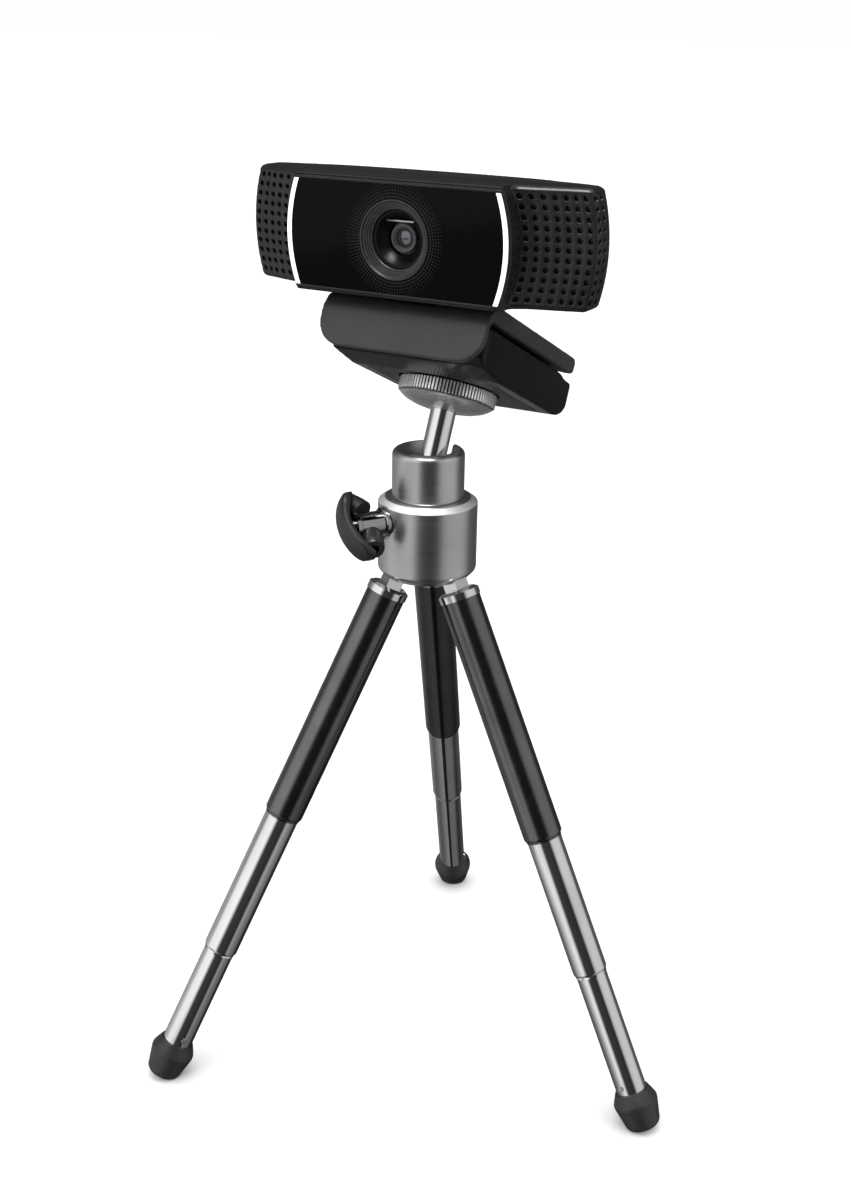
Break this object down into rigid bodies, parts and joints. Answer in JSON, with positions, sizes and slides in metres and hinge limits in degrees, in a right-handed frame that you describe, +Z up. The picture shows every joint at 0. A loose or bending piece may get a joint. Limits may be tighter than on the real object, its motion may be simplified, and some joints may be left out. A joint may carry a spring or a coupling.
{
  "type": "webcam on tripod",
  "caption": "Wide desktop webcam with a folding screen clip, standing on a pocket tripod with telescopic legs and a locking ball head.",
  "frame": {"origin": "centre of the bounding box on the ground under the rubber feet", "axes": "+Z up; -Y is the side the legs' open front and, turned by about 30 degrees, the webcam faces; +X to the right when seen from the front"},
  "size_m": [0.1408, 0.1324, 0.2426],
  "materials": {
    "turned_metal": "satin turned metal with fine machining rings",
    "knurled_metal": "bright metal with straight knurling on its rim",
    "chrome": "polished chrome plating",
    "black_tube": "satin black anodised tube",
    "steel": "bright steel",
    "brass": "plain turned brass",
    "nylon": "natural nylon",
    "black_knob": "matte black plastic",
    "black_rubber": "soft black rubber",
    "clip_plastic": "satin dark plastic",
    "body_plastic": "fine-grained dark grey plastic",
    "gloss_black": "glossy black panel",
    "white_strip": "milky white light guide",
    "lens_black": "satin black with stepped rings",
    "lens_glass": "coated optical glass",
    "board_green": "solder-masked circuit board",
    "sensor_glass": "sensor with cover glass"
  },
  "bodies": {
    "hub": {"hub_housing": "turned_metal", "base_plate": "turned_metal", "base_screw": "steel", "leg_pins": "steel", "clamp_plunger": "brass"},
    "knob": {"lock_knob": "black_knob", "knob_screw": "chrome"},
    "ball_socket": {"hub_cap": "turned_metal", "ball_seat": "nylon"},
    "ball_head": {"ball_stem": "chrome", "platform_disc": "knurled_metal", "platform_stud": "steel"},
    "clip_foot": {"clip_foot": "clip_plastic", "foot_pad": "black_rubber", "thread_insert": "brass", "clip_pin": "steel"},
    "clip_arm": {"clip_arm": "clip_plastic", "lip_pad": "black_rubber", "tilt_pin": "steel"},
    "camera": {"tilt_bracket": "clip_plastic", "front_bezel": "body_plastic", "front_panel": "gloss_black", "light_strips": "white_strip", "mic_grille_left": "body_plastic", "mic_grille_right": "body_plastic", "rear_shell": "body_plastic", "lens_ring": "lens_black", "lens_hood": "lens_black", "lens_barrel": "lens_black", "lens_glass": "lens_glass", "lens_holder": "lens_black", "image_sensor": "sensor_glass", "circuit_board": "board_green", "microphones": "steel", "cable_gland": "black_rubber", "shell_screws": "steel"},
    "leg_left": {"leg_lug_left": "chrome", "upper_tube_left": "black_tube"},
    "mid_left": {"mid_tube_left": "chrome", "mid_bush_left": "brass"},
    "low_left": {"low_tube_left": "chrome", "low_bush_left": "brass", "foot_left": "black_rubber", "foot_rivet_left": "steel"},
    "leg_right": {"leg_lug_right": "chrome", "upper_tube_right": "black_tube"},
    "mid_right": {"mid_tube_right": "chrome", "mid_bush_right": "brass"},
    "low_right": {"low_tube_right": "chrome", "low_bush_right": "brass", "foot_right": "black_rubber", "foot_rivet_right": "steel"},
    "leg_back": {"leg_lug_back": "chrome", "upper_tube_back": "black_tube"},
    "mid_back": {"mid_tube_back": "chrome", "mid_bush_back": "brass"},
    "low_back": {"low_tube_back": "chrome", "low_bush_back": "brass", "foot_back": "black_rubber", "foot_rivet_back": "steel"}
  },
  "joints": [
    {"name": "leg_fold_left", "type": "hinge", "parent": "hub", "child": "leg_left", "pos_m": [-0.00138, -0.01696, 0.1445], "axis": [0.3746, -0.9272, 0], "range_deg": [0, 26]},
    {"name": "mid_slide_left", "type": "slide", "parent": "leg_left", "child": "mid_left", "axis": [-0.4065, -0.1642, -0.8988], "range_m": [-0.04, 0.001]},
    {"name": "low_slide_left", "type": "slide", "parent": "mid_left", "child": "low_left", "axis": [-0.4065, -0.1642, -0.8988], "range_m": [-0.0262, 0.011]},
    {"name": "leg_fold_right", "type": "hinge", "parent": "hub", "child": "leg_right", "pos_m": [0.01097, -0.01869, 0.1445], "axis": [0.6157, 0.788, 0], "range_deg": [0, 26]},
    {"name": "mid_slide_right", "type": "slide", "parent": "leg_right", "child": "mid_right", "axis": [0.3454, -0.2699, -0.8988], "range_m": [-0.0358, 0.0052]},
    {"name": "low_slide_right", "type": "slide", "parent": "mid_right", "child": "low_right", "axis": [0.3454, -0.2699, -0.8988], "range_m": [-0.0304, 0.0068]},
    {"name": "leg_fold_back", "type": "hinge", "parent": "hub", "child": "leg_back", "pos_m": [0.0063, -0.00713, 0.1445], "axis": [-0.9903, 0.1392, 0], "range_deg": [0, 26]},
    {"name": "mid_slide_back", "type": "slide", "parent": "leg_back", "child": "mid_back", "axis": [0.061, 0.4341, -0.8988], "range_m": [-0.0307, 0.0103]},
    {"name": "low_slide_back", "type": "slide", "parent": "mid_back", "child": "low_back", "axis": [0.061, 0.4341, -0.8988], "range_m": [-0.0355, 0.0017]},
    {"name": "lock_turn", "type": "hinge", "parent": "hub", "child": "knob", "pos_m": [-0.00682, -0.02126, 0.1564], "axis": [-0.866, -0.5, 0], "range_deg": [0, 180]},
    {"name": "ball_pan", "type": "hinge", "parent": "hub", "child": "ball_socket", "pos_m": [0.0053, -0.01426, 0.1664], "axis": [0, 0, 1], "continuous": true},
    {"name": "ball_tilt", "type": "hinge", "parent": "ball_socket", "child": "ball_head", "pos_m": [0.0053, -0.01426, 0.1664], "axis": [-0.8704, 0.4924, 0], "range_deg": [-44, 27]},
    {"name": "webcam_swivel", "type": "hinge", "parent": "ball_head", "child": "clip_foot", "pos_m": [0.01026, -0.00549, 0.18851], "axis": [0.2042, 0.3609, 0.91], "continuous": true},
    {"name": "clip_fold", "type": "hinge", "parent": "clip_foot", "child": "clip_arm", "pos_m": [0.02336, 0.01767, 0.18902], "axis": [-0.8704, 0.4924, 0], "range_deg": [0, 90]},
    {"name": "webcam_tilt", "type": "hinge", "parent": "clip_arm", "child": "camera", "pos_m": [0.00223, -0.01968, 0.21122], "axis": [-0.8704, 0.4924, 0], "range_deg": [-6, 27]}
  ]
}
